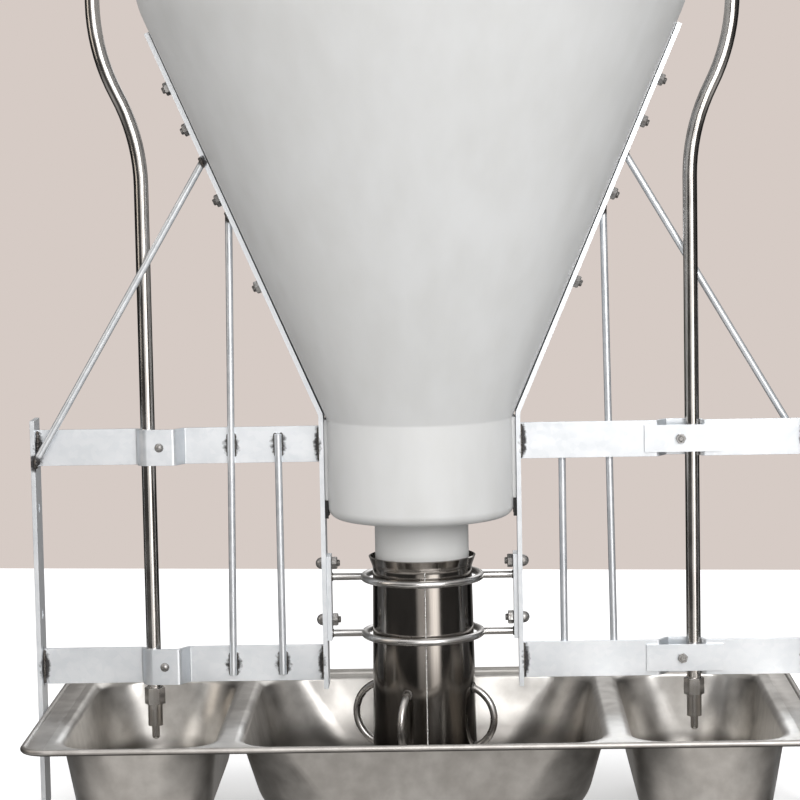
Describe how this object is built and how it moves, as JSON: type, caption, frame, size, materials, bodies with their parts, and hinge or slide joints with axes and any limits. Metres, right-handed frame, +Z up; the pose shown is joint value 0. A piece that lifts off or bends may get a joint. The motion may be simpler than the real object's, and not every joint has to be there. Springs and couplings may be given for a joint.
{
  "type": "pig feeder",
  "caption": "Dry feeder for pigs: a tapered plastic hopper in a bar frame over a steel trough with bowls, a turning feed tube with stirring loops and nipple drinkers on pipes.",
  "frame": {"origin": "on the floor under the hopper's vertical axis", "axes": "+X along the trough to the right in the picture, +Y to the back, +Z up"},
  "size_m": [0.984, 0.627, 1.2264],
  "materials": {
    "hopper_plastic": "off-white moulded polyethylene, satin, slightly uneven wall",
    "galvanised_steel": "pale zinc coat on flat bar and rod, soft sheen, dull patches at the welds",
    "trough_steel": "drawn stainless sheet, bright, with soft stretched reflections",
    "tube_steel": "rolled stainless sheet, bright, with a welded seam",
    "loop_steel": "bent stainless rod, satin",
    "fastener_steel": "plain steel hardware, dull",
    "water_steel": "polished stainless pipe and turned fittings",
    "rubber": "plain black rubber"
  },
  "bodies": {
    "frame": {"trough_rim": "trough_steel", "left_bowl": "trough_steel", "centre_bowl": "trough_steel", "right_bowl": "trough_steel", "pivot_stud": "fastener_steel", "left_upright": "galvanised_steel", "left_upper_rail": "galvanised_steel", "left_lower_rail": "galvanised_steel", "left_long_rod": "galvanised_steel", "left_short_rod": "galvanised_steel", "left_brace_rod": "galvanised_steel", "left_end_post": "galvanised_steel", "left_guide_plate": "galvanised_steel", "left_neck_pad": "rubber", "left_water_pipe": "water_steel", "left_inlet": "fastener_steel", "left_coupling": "water_steel", "left_nipple": "water_steel", "left_nipple_seal": "rubber", "left_upper_clamp_plate": "galvanised_steel", "left_lower_clamp_plate": "galvanised_steel", "right_upright": "galvanised_steel", "right_upper_rail": "galvanised_steel", "right_lower_rail": "galvanised_steel", "right_long_rod": "galvanised_steel", "right_short_rod": "galvanised_steel", "right_brace_rod": "galvanised_steel", "right_end_post": "galvanised_steel", "right_guide_plate": "galvanised_steel", "right_neck_pad": "rubber", "right_water_pipe": "water_steel", "right_inlet": "fastener_steel", "right_coupling": "water_steel", "right_nipple": "water_steel", "right_nipple_seal": "rubber", "right_upper_clamp_plate": "galvanised_steel", "right_lower_clamp_plate": "galvanised_steel", "upper_guide_ring": "galvanised_steel", "lower_guide_ring": "galvanised_steel", "guide_bolts": "fastener_steel", "guide_nuts": "fastener_steel", "hopper": "hopper_plastic", "strap_bolts": "fastener_steel", "strap_nuts": "fastener_steel", "clamp_bolts": "fastener_steel", "clamp_nuts": "fastener_steel"},
    "height_setting": {"height_nut": "fastener_steel", "thrust_washer": "loop_steel"},
    "tube": {"feed_tube": "tube_steel", "tube_spider": "loop_steel", "front_stir_loop": "loop_steel", "right_stir_loop": "loop_steel", "rear_stir_loop": "loop_steel", "left_stir_loop": "loop_steel"},
    "lid": {"hopper_lid": "hopper_plastic"},
    "left_pin": {"left_nipple_pin": "water_steel"},
    "right_pin": {"right_nipple_pin": "water_steel"}
  },
  "joints": [
    {"name": "feed_height", "type": "slide", "parent": "frame", "child": "height_setting", "axis": [0, 0, 1], "range_m": [0, 0.025]},
    {"name": "tube_turn", "type": "hinge", "parent": "height_setting", "child": "tube", "pos_m": [0, 0, 0.06], "axis": [0, 0, 1], "continuous": true},
    {"name": "lid_lift", "type": "slide", "parent": "frame", "child": "lid", "axis": [0, 0, 1], "range_m": [0, 0.2]},
    {"name": "left_pin_push", "type": "slide", "parent": "frame", "child": "left_pin", "axis": [0, 0, 1], "range_m": [0, 0.003], "stiffness_N_per_m": 600, "springref_m": -0.005},
    {"name": "right_pin_push", "type": "slide", "parent": "frame", "child": "right_pin", "axis": [0, 0, 1], "range_m": [0, 0.003], "stiffness_N_per_m": 600, "springref_m": -0.005}
  ]
}
